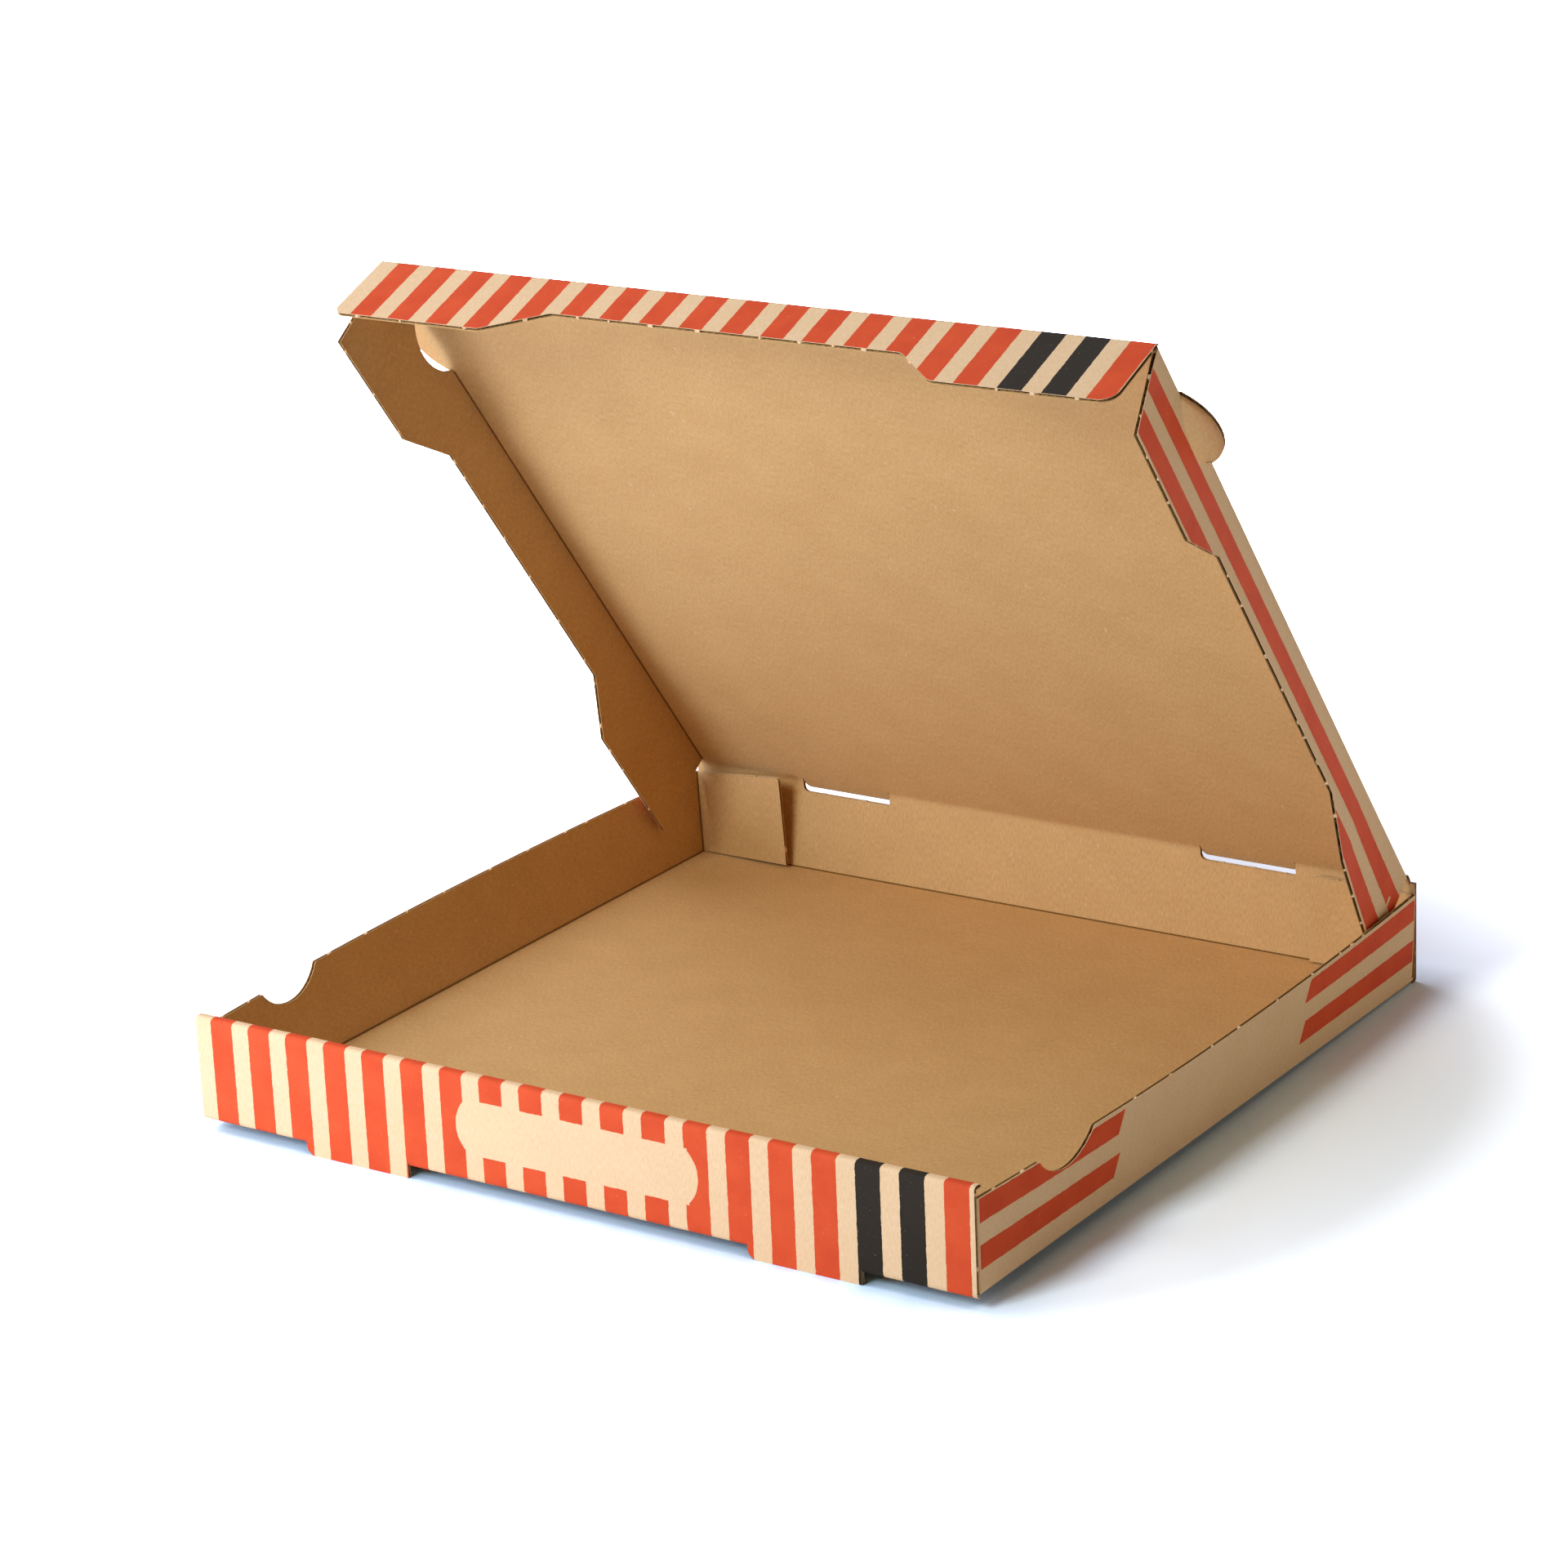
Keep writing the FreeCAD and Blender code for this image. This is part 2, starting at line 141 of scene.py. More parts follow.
def drawn_in(points, depth):
    """The same outline with its cut sides moved inwards by depth, for the paper inside the board."""
    result = []
    for number, here in enumerate(points):
        before, after = points[number - 1], points[(number + 1) % len(points)]
        sides = []
        for a, b, kind in ((before, here, before[2]), (here, after, here[2])):
            way = Vector((b[0] - a[0], b[1] - a[1])).normalized()
            sides.append((Vector((-way.y, way.x)), depth if kind == "cut" else 0.0))
        (n0, d0), (n1, d1) = sides
        cross = n0.x * n1.y - n0.y * n1.x
        spot = Vector(here[:2])
        if abs(cross) < 0.03:
            result.append((*(spot + n0 * d0), here[2]))
            if abs(d0 - d1) > 0.01:
                result.append((*(spot + n1 * d1), here[2]))
        else:
            x = (d0 * n1.y - d1 * n0.y) / cross
            y = (n0.x * d1 - n1.x * d0) / cross
            result.append((spot.x + x, spot.y + y, here[2]))
    return result


print("an ear is", len(arc((0, 0), (36.5, 0), 22.3, 1)), "steps round")

# %% [markdown]
# ## From the flat sheet to the folded carton
#
# A point of the sheet has three numbers: u and v on the flat outline, and w, its depth below the
# printed face. Each panel has one small function that says where such a point goes once the sheet is
# folded. This way the layers, the fluting and the print all bend together, and a wall can bow or a
# flap can lean without any layer coming apart.

# %% Folding helpers
def fold(v, w, turn=QUARTER, radius=FOLD):
    """Where a point goes that is v past a fold line: how far out, and how far round the corner."""
    run = v - BEND_START
    angle = min(max(run, 0.0) / radius, turn)
    out = (radius - w) * math.sin(angle) + min(run, 0.0)
    down = radius - (radius - w) * math.cos(angle)
    rest = max(run - radius * turn, 0.0)
    return out + rest * math.cos(turn), down + rest * math.sin(turn)


def lines_of_fold(start=BEND_START, radius=FOLD, turn=QUARTER, steps=6):
    return [start + radius * turn * step / steps for step in range(1, steps + 1)]


def floor(u, v, w):
    return u, v, w


BOW = 6.5
REAR_LEAN = 1.6
TAB_REACH = 41.5


def leaning(y, z):
    """How far a side wall stands out at a place along it: straight at the front, bowed, then leaning."""
    part = max(-1.0, min(1.0, y / (SIDE_END - FOLD)))
    bow = BOW * (1 - part ** 2) + REAR_LEAN * max(0.0, part) ** 2
    return bow * max(z, 0.0) / SIDE_TOP


def side_wall(sign):
    def place(u, v, w):
        out, up = fold(v, w)
        return sign * (SIDE_OUT - FOLD + out + leaning(u, up)), u, up
    return place


def wall_tab(sign, way, swing_top=0.0, swing_low=0.0, lift_top=0.0, lift_low=0.0):
    """A tab that turns in from a side wall. Its free end swings away from the wall behind and lifts."""
    def place(u, v, w):
        out, along = fold(u, w)
        share, high = max(0.0, (along - FOLD) / TAB_REACH), v / SIDE_TOP
        swing = share * (swing_low + (swing_top - swing_low) * high)
        lift = share * (lift_low + (lift_top - lift_low) * high)
        lean = leaning(way * SIDE_END, v)
        return sign * (SIDE_OUT - along + lean), way * (SIDE_END - FOLD + out - swing), v + lift
    return place


def front_bend(u, v, w):
    out, up = fold(v, w)
    return u, -(DEEP / 2 - FOLD + out), up


def back_wall(u, v, w):
    out, up = fold(v, w)
    return u, DEEP / 2 - FOLD + out, up


ROLL_RISE = TALL - ROLL
ROLL_OVER = ROLL_RISE + ROLL * QUARTER
ROLL_FLAT = ROLL_OVER + 4.8 - 2 * ROLL
ROLL_DOWN = ROLL_FLAT + ROLL * QUARTER
INNER_FOOT = ROLL_DOWN + ROLL_RISE - BOARD


def front_wall(u, v, w):
    """Up the outside, over the rolled top and down the inside of the double wall."""
    low, inner = -DEEP / 2, -DEEP / 2 + 4.8
    if v <= ROLL_RISE:
        return u, low + w, v
    if v <= ROLL_OVER:
        angle = (v - ROLL_RISE) / ROLL
        return u, low + ROLL - (ROLL - w) * math.cos(angle), ROLL_RISE + (ROLL - w) * math.sin(angle)
    if v <= ROLL_FLAT:
        return u, low + ROLL + v - ROLL_OVER, TALL - w
    if v <= ROLL_DOWN:
        angle = (v - ROLL_FLAT) / ROLL
        return u, inner - ROLL + (ROLL - w) * math.sin(angle), ROLL_RISE + (ROLL - w) * math.cos(angle)
    return u, inner - w, ROLL_RISE - (v - ROLL_DOWN)


def opened(x, y, z):
    """From the lid lying shut, with its crease at zero, to the lid as it stands open."""
    turned_y = y * math.cos(LID_OPEN) + z * math.sin(LID_OPEN)
    turned_z = -y * math.sin(LID_OPEN) + z * math.cos(LID_OPEN)
    return x, DEEP / 2 + turned_y, TALL + turned_z


def lid_panel(u, v, w):
    return opened(u, -v, -w)


def lid_side(sign, flare=0.0):
    """A side flap. Its rear end stays between the walls, and further forward it springs out."""
    def place(u, v, w):
        free = min(max((u - 4.0) / 66.0, 0.0), 1.0)
        out, down = fold(v, w, QUARTER - math.radians(flare * (0.12 + 0.88 * free)))
        return opened(sign * (LID_HALF - FOLD + out), -u, -down)
    return place


FRONT_LEAN = 14.9


def lid_front(u, v, w):
    out, down = fold(v, w, QUARTER - math.radians(FRONT_LEAN))
    return opened(u, -(LID_DEEP - FOLD + out), -down)


CREASE_TURN = QUARTER - LID_OPEN
CREASE_ROUND = FOLD / math.tan(CREASE_TURN / 2)


def crease(u, v, w):
    angle = v / CREASE_ROUND
    y = DEEP / 2 - (CREASE_ROUND - (CREASE_ROUND - w) * math.cos(angle))
    return u, y, TALL - FOLD + (CREASE_ROUND - w) * math.sin(angle)


print("the front roll uses", round(ROLL_DOWN - ROLL_RISE, 2), "mm of sheet")

# %% [markdown]
# ## The panels
#
# These lists are the die-cut blank, panel by panel. The floor is open where the locking tabs go in.
# The front wall carries the two feet that were cut out of the floor. The lid's side flaps have the
# holes that their ears were cut from.

# %% Outlines of the tray
floor_line = [(-162.6, -161.0, 0, "fold")]
front_line = [(-165.0, FOLD, 0, "fold")]
inner_line = [(162.95, INNER_FOOT)]
for start, end in FOOT_SPANS:
    floor_line += [(start, -161.0), (start, -157.9), (end, -157.9), (end, -161.0, 0, "fold")]
    front_line += [(start, FOLD), (start, 0.0), (start + 0.5, -2.6), (start + 2.6, -4.3)]
    front_line += [(end, -4.3), (end, FOLD, 0, "fold")]
for start, end in reversed(FOOT_SPANS):
    inner_line += [(end - 0.3, INNER_FOOT), (end - 0.3, INNER_FOOT + 1.5)]
    inner_line += [(start + 0.3, INNER_FOOT + 1.5), (start + 0.3, INNER_FOOT)]
inner_line += [(-162.95, INNER_FOOT)]
floor_line += [(162.6, -161.0, 0, "fold"), (162.6, 161.0, 0, "fold"), (-162.6, 161.0, 0, "fold")]
front_line += [(165.0, FOLD), (165.0, ROLL_DOWN), (162.95, ROLL_DOWN)]
front_line += inner_line + [(-162.95, ROLL_DOWN), (-165.0, ROLL_DOWN)]

side_line = [
    (-SIDE_END, BEND_START, 0, "fold"), (SIDE_END, BEND_START), (SIDE_END, 2.2),
    (SIDE_END - FOLD, 2.2, 0, "fold"), (SIDE_END - FOLD, SIDE_TOP),
]
side_line += arc((-90.5, SIDE_TOP), (-124.5, 35.3), 20.6, -1)
side_line += [(-124.5, 35.3), (FOLD - SIDE_END, 35.3, 0, "fold"), (FOLD - SIDE_END, 1.65), (-SIDE_END, 1.65)]

back_line = [(-165.0, BEND_START, 0, "fold"), (165.0, BEND_START), (165.0, 40.2), (LID_HALF, 40.2),
             (LID_HALF, 38.5, 0, "fold")]
for start, end in reversed(SLOT_SPANS):
    back_line += [(end + 0.35, 38.5), (end + 0.35, 35.3), (start - 0.35, 35.3, 2.6), (start - 0.35, 38.5, 0, "fold")]
back_line += [(-LID_HALF, 38.5), (-LID_HALF, 40.2), (-165.0, 40.2)]


def tab_line(length, low, high, corner=3.0, top=None):
    return [(BEND_START, low), (length, low), (top or length, high, corner), (BEND_START, high, 0, "fold")]


print("front wall outline has", len(front_line), "corners")

# %% Outlines of the lid
EAR = (253.5, 290.0)
HOLE = (253.2, 290.3)
SIDE_FLAP = 38.7
panel_line = [(-LID_HALF, FOLD, 0, "fold")]
for start, end in SLOT_SPANS:
    panel_line += [(start, FOLD), (start, -3.6, 2.2), (end, -3.6), (end, FOLD, 0, "fold")]
panel_line += [(LID_HALF, FOLD), (LID_HALF, 3.95), (160.7, 3.95, 0, "fold"), (160.7, EAR[0])]
panel_line += arc((LID_HALF, EAR[0]), (LID_HALF, EAR[1]), 22.3, 1)
panel_line += [(LID_HALF, EAR[1]), (160.7, EAR[1], 0, "fold"), (160.7, LID_DEEP - FOLD, 0, "fold")]
panel_line += [(-160.7, LID_DEEP - FOLD, 0, "fold"), (-160.7, EAR[1])]
panel_line += arc((-LID_HALF, EAR[1]), (-LID_HALF, EAR[0]), 22.3, 1)
panel_line += [(-LID_HALF, EAR[0]), (-160.7, EAR[0], 0, "fold"), (-160.7, 3.95), (-LID_HALF, 3.95)]

flap_line = [(3.95, BEND_START, 0, "fold"), (HOLE[0], BEND_START)]
flap_line += arc((HOLE[0], 0.0), (HOLE[1], 0.0), 22.6, -1)
flap_line += [(HOLE[1], 0.0), (HOLE[1], BEND_START, 0, "fold"), (314.1, BEND_START), (314.1, SIDE_FLAP)]
flap_line += [(258.0, SIDE_FLAP), (231.0, 24.4), (92.0, 24.4), (68.0, SIDE_FLAP), (3.95, SIDE_FLAP)]

TUCK = 34.1
tuck_line = [
    (-LID_HALF, BEND_START, 0, "fold"), (LID_HALF, BEND_START), (LID_HALF, TUCK, 6.0),
    (91.7, TUCK, 6.0), (73.7, 20.7, 6.0), (-73.2, 20.7, 3.0), (-97.2, TUCK, 3.0), (-LID_HALF, TUCK, 4.0),
]
print("lid panel outline has", len(panel_line), "corners")

# %% [markdown]
# ## Paper and ink
#
# Kraft liner is unbleached pulp: a warm brown with longer, paler fibres and a few dark specks, and no
# shine. Its print is water-based flexo ink, flat and a little soft at its edges, and the brown shows
# through it in fine flecks. The stripes are worked out from the sheet's own u and v, so they follow
# every fold.

# %% Node helpers
def linear(code):
    """Linear colour from an sRGB hex code."""
    values = [int(code[n:n + 2], 16) / 255 for n in (1, 3, 5)]
    return (*[v / 12.92 if v <= 0.04045 else ((v + 0.055) / 1.055) ** 2.4 for v in values], 1.0)


def add(tree, kind, inputs=None, **settings):
    """Add a node with its settings; an input is a plain value or another node's output."""
    node = tree.nodes.new(kind)
    for name, value in settings.items():
        setattr(node, name, value)
    for name, value in (inputs or {}).items():
        if isinstance(value, bpy.types.NodeSocket):
            tree.links.new(value, node.inputs[name])
        else:
            node.inputs[name].default_value = value
    return node


def sum_of(tree, operation, *values):
    """One arithmetic step, as the output of a Math node."""
    return add(tree, "ShaderNodeMath", dict(enumerate(values)), operation=operation).outputs[0]


def blend_of(tree, share, first, second):
    """Colour that goes from the first to the second as share goes from 0 to 1."""
    node = add(tree, "ShaderNodeMix", {0: share, 6: first, 7: second}, data_type="RGBA")
    return node.outputs[2]


def new_material(name):
    material = bpy.data.materials.new(name)
    material.use_nodes = True
    material.node_tree.nodes.clear()
    return material, material.node_tree


def noise(tree, where, scale, detail=3.0, rough=0.5):
    node = add(tree, "ShaderNodeTexNoise", {"Vector": where, "Scale": scale, "Detail": detail, "Roughness": rough})
    return node.outputs["Fac"]


def between(tree, value, low, high):
    over = sum_of(tree, "GREATER_THAN", value, low)
    return sum_of(tree, "MULTIPLY", over, sum_of(tree, "LESS_THAN", value, high))


def ramp(tree, value, low, high):
    """0 below low, 1 above high, straight in between."""
    node = add(tree, "ShaderNodeMapRange", {"Value": value, "From Min": low, "From Max": high}, clamp=True)
    return node.outputs["Result"]


print("kraft", [round(v, 3) for v in linear("#D8B07C")[:3]])

# %% Kraft liner
def kraft(tree, light, dark):
    """Colour and height of kraft liner. The grain map runs across and along the flutes, in metres."""
    grain = add(tree, "ShaderNodeUVMap", uv_map="grain").outputs[0]
    drawn = add(tree, "ShaderNodeMapping", {"Vector": grain, "Scale": (1.0, 0.3, 1.0)}).outputs[0]
    cloud = noise(tree, grain, 38.0, 4.0, 0.6)
    fibre = noise(tree, drawn, 1500.0, 3.0, 0.6)
    fleck = noise(tree, drawn, 620.0, 2.0, 0.5)
    tone = sum_of(tree, "ADD", sum_of(tree, "MULTIPLY", cloud, 0.25), sum_of(tree, "MULTIPLY", fibre, 0.75))
    colour = blend_of(tree, ramp(tree, tone, 0.36, 0.64), linear(dark), linear(light))
    pale = sum_of(tree, "MULTIPLY", ramp(tree, fleck, 0.70, 0.78), 0.35)
    colour = blend_of(tree, pale, colour, linear("#F0DDBB"))
    specks = noise(tree, grain, 900.0, 1.0, 0.5)
    colour = blend_of(tree, sum_of(tree, "MULTIPLY", ramp(tree, specks, 0.79, 0.83), 0.6), colour, linear("#6B4A26"))
    across = add(tree, "ShaderNodeSeparateXYZ", {0: grain}).outputs[0]
    wave = sum_of(tree, "SINE", sum_of(tree, "MULTIPLY", across, 2 * math.pi * 1000 / FLUTE))
    height = sum_of(tree, "ADD", fibre, sum_of(tree, "MULTIPLY", wave, 0.10))
    return colour, height


def finish_paper(tree, colour, height, roughness=0.82):
    """Matt paper: IOR 1.5, with a relief of a few hundredths of a millimetre."""
    bump = add(tree, "ShaderNodeBump", {"Height": height, "Strength": 0.35, "Distance": 0.00008}).outputs[0]
    skin = add(tree, "ShaderNodeBsdfPrincipled", {
        "Base Color": colour, "Roughness": roughness, "IOR": 1.5, "Specular IOR Level": 0.1, "Normal": bump})
    add(tree, "ShaderNodeOutputMaterial", {"Surface": skin.outputs[0]})


def plain_liner(name, light, dark):
    material, tree = new_material(name)
    colour, height = kraft(tree, light, dark)
    finish_paper(tree, colour, height)
    return material


KRAFT_OUTSIDE = ("#E6C194", "#DCB585")
kraft_outside = plain_liner("kraft_liner_outside", *KRAFT_OUTSIDE)
kraft_inside = plain_liner("kraft_liner_inside", "#D5AA70", "#C4985F")
# Fluting medium: partly its own brown and partly painted shade, made darker than the paper so the gap at a cut edge
# looks shaded.
fluting_paper_and_shade = plain_liner("fluting_medium_and_painted_shade", "#83602F", "#694823")
# Painted shade: a darker brown for the inner liner on the arc of each fold, where the crease lies in shade.
fold_shade_paper = plain_liner("painted_fold_shade", "#8A6130", "#6E4A20")
# Painted shade: the core is a near-black brown that stands for the dark gap between the liners at a cut edge.
core_shade = plain_liner("painted_shade_core", "#35220E", "#261808")
print("papers:", kraft_outside.name, kraft_inside.name, fluting_paper_and_shade.name, fold_shade_paper.name, core_shade.name)

# %% Flexo ink on kraft
BLACK = "#16120C"
RED = ("#C8411C", "#D64E25")
INK_COVER, INK_WORN_AWAY = 0.985, 0.35


def sheet_place(tree, wobble=0.32):
    """u and v of the sheet in millimetres, each shaken a little, as the ink's edge creeps along fibres."""
    sheet = add(tree, "ShaderNodeUVMap", uv_map="sheet").outputs[0]
    parts = add(tree, "ShaderNodeSeparateXYZ", {0: sheet})
    coarse = sum_of(tree, "SUBTRACT", noise(tree, sheet, 260.0, 3.0, 0.6), 0.5)
    fine = sum_of(tree, "SUBTRACT", noise(tree, sheet, 1100.0, 2.0, 0.6), 0.5)
    shake = sum_of(tree, "ADD", sum_of(tree, "MULTIPLY", coarse, wobble * 2), sum_of(tree, "MULTIPLY", fine, wobble))
    u = sum_of(tree, "MULTIPLY", parts.outputs[0], 1000.0)
    v = sum_of(tree, "MULTIPLY", parts.outputs[1], 1000.0)
    return sum_of(tree, "ADD", u, shake), sum_of(tree, "ADD", v, shake)


def stripes(tree, value, start, pitch, width):
    turns = sum_of(tree, "DIVIDE", sum_of(tree, "SUBTRACT", value, start), pitch)
    return sum_of(tree, "LESS_THAN", sum_of(tree, "FRACT", turns), width / pitch)


def printed(name, fields):
    """Kraft liner with ink on it. fields(tree, u, v) returns the masks of the red and the black ink."""
    material, tree = new_material(name)
    colour, height = kraft(tree, *KRAFT_OUTSIDE)
    u, v = sheet_place(tree)
    red, black = fields(tree, u, v)
    sheet = add(tree, "ShaderNodeUVMap", uv_map="sheet").outputs[0]
    worn = ramp(tree, noise(tree, sheet, 800.0, 3.0, 0.6), 0.66, 0.76)
    cover = sum_of(tree, "SUBTRACT", INK_COVER, sum_of(tree, "MULTIPLY", worn, INK_WORN_AWAY))
    cloud = noise(tree, sheet, 60.0, 4.0, 0.6)
    red_ink = blend_of(tree, ramp(tree, cloud, 0.3, 0.7), linear(RED[0]), linear(RED[1]))
    colour = blend_of(tree, sum_of(tree, "MULTIPLY", red, cover), colour, red_ink)
    colour = blend_of(tree, sum_of(tree, "MULTIPLY", black, cover), colour, linear(BLACK))
    finish_paper(tree, colour, height, 0.72)
    return material


TICKET_HIGH = (9.0, 30.0)
TICKET_LONG = (122.0, 216.0)
TICKET_BULGES, BULGE_DEPTH, BULGE_RADIUS = (130.5, 206.5), 19.5, 13.5
INK_ENDS_INSIDE = -6.5


def front_wall_ink(tree, u, v):
    """Nineteen stripes from end to end, the seventeenth and eighteenth black, and a bare ticket shape."""
    u = sum_of(tree, "ADD", u, WIDE / 2)
    depth = sum_of(tree, "SUBTRACT", TALL, v)
    bars = stripes(tree, u, 7.0, 17.3, 9.8)
    bars = sum_of(tree, "MULTIPLY", bars, between(tree, u, 5.0, 329.0))
    bars = sum_of(tree, "MULTIPLY", bars, sum_of(tree, "GREATER_THAN", depth, INK_ENDS_INSIDE))
    in_band = between(tree, depth, *TICKET_HIGH)
    ticket = sum_of(tree, "MULTIPLY", between(tree, u, *TICKET_LONG), in_band)
    for middle in TICKET_BULGES:
        x = sum_of(tree, "SUBTRACT", u, middle)
        y = sum_of(tree, "SUBTRACT", depth, BULGE_DEPTH)
        reach = sum_of(tree, "ADD", sum_of(tree, "POWER", x, 2.0), sum_of(tree, "POWER", y, 2.0))
        disc = sum_of(tree, "LESS_THAN", reach, BULGE_RADIUS ** 2)
        ticket = sum_of(tree, "MAXIMUM", ticket, sum_of(tree, "MULTIPLY", disc, in_band))
    bars = sum_of(tree, "MULTIPLY", bars, sum_of(tree, "SUBTRACT", 1.0, ticket))
    dark = sum_of(tree, "MULTIPLY", bars, between(tree, u, 280.0, 314.0))
    return sum_of(tree, "SUBTRACT", bars, dark), dark


SIDE_BARS = ((13.9, 4.4), (30.55, 4.35))
BAR_SLANT = 0.3
FRONT_LENGTH, REAR_LENGTH = (2.5, 91.0), (228.2, 400.0)


def side_wall_ink(tree, u, v):
    """Two stripes along the wall, left out in its middle, each end cut on a slant of its own."""
    along = sum_of(tree, "ADD", u, DEEP / 2)
    red = 0.0
    for middle, half in SIDE_BARS:
        height = sum_of(tree, "SUBTRACT", v, middle)
        slant = sum_of(tree, "SUBTRACT", along, sum_of(tree, "MULTIPLY", height, BAR_SLANT))
        ends = sum_of(tree, "MAXIMUM", between(tree, slant, *FRONT_LENGTH), between(tree, slant, *REAR_LENGTH))
        bar = sum_of(tree, "MULTIPLY", between(tree, height, -half, half), ends)
        red = sum_of(tree, "MAXIMUM", red, bar)
    return red, 0.0


def lid_front_ink(tree, u, v):
    u = sum_of(tree, "ADD", u, LID_HALF)
    bars = stripes(tree, u, 8.2, 17.075, 9.6)
    bars = sum_of(tree, "MULTIPLY", bars, between(tree, u, 3.0, 326.0))
    dark = sum_of(tree, "MULTIPLY", bars, between(tree, u, 277.0, 310.0))
    return sum_of(tree, "SUBTRACT", bars, dark), dark


def lid_side_ink(tree, u, v):
    return sum_of(tree, "MAXIMUM", between(tree, v, 10.0, 19.5), between(tree, v, 27.5, 37.5)), 0.0


ink_front = printed("flexo_print_front_wall", front_wall_ink)
ink_side = printed("flexo_print_side_wall", side_wall_ink)
ink_lid_front = printed("flexo_print_lid_front", lid_front_ink)
ink_lid_side = printed("flexo_print_lid_side", lid_side_ink)
print("printed:", ink_front.name, ink_side.name, ink_lid_front.name, ink_lid_side.name)

# %% [markdown]
# ## Laying up the board
#
# A panel is three closed slabs: the outer liner, the core and the inner liner. The core stops a
# little short of each cut and is coloured near black as painted shade, so a cut edge shows two thin
# papers with a dark gap between them, as real board does. The flat outline is cut into strips along
# the folds first, so that it can bend there.

# %% Lay up one panel
MATERIALS = [kraft_outside, kraft_inside, core_shade, ink_front, ink_side, ink_lid_front, ink_lid_side,
             fold_shade_paper]
OUTSIDE, INSIDE, CORE, FRONT_INK, SIDE_INK, LID_FRONT_INK, LID_SIDE_INK, FOLD_SHADE = range(8)
FOLDS = lines_of_fold()
RECESS = 1.1
TORN_ROOT = 0.8


def flat_sheet(points, cuts_u, cuts_v):
    """Corners, faces and rim of a flat outline after it is cut at the given u and v."""
    flat = bmesh.new()
    flat.faces.new([flat.verts.new((p[0], p[1], 0.0)) for p in points]).normal_update()
    bmesh.ops.triangulate(flat, faces=flat.faces[:])
    for axis, cuts in (((1, 0, 0), cuts_u), ((0, 1, 0), cuts_v)):
        for cut in cuts:
            everything = flat.verts[:] + flat.edges[:] + flat.faces[:]
            spot = [cut * part for part in axis]
            bmesh.ops.bisect_plane(flat, geom=everything, dist=1e-4, plane_co=spot, plane_no=axis)
    flat.verts.index_update()
    corners = [(v.co.x, v.co.y) for v in flat.verts]
    faces = [[v.index for v in f.verts] for f in flat.faces]
    rim = [[loop.vert.index, loop.link_loop_next.vert.index] for f in flat.faces for loop in f.loops
           if len(loop.edge.link_faces) == 1]
    flat.free()
    return corners, faces, rim


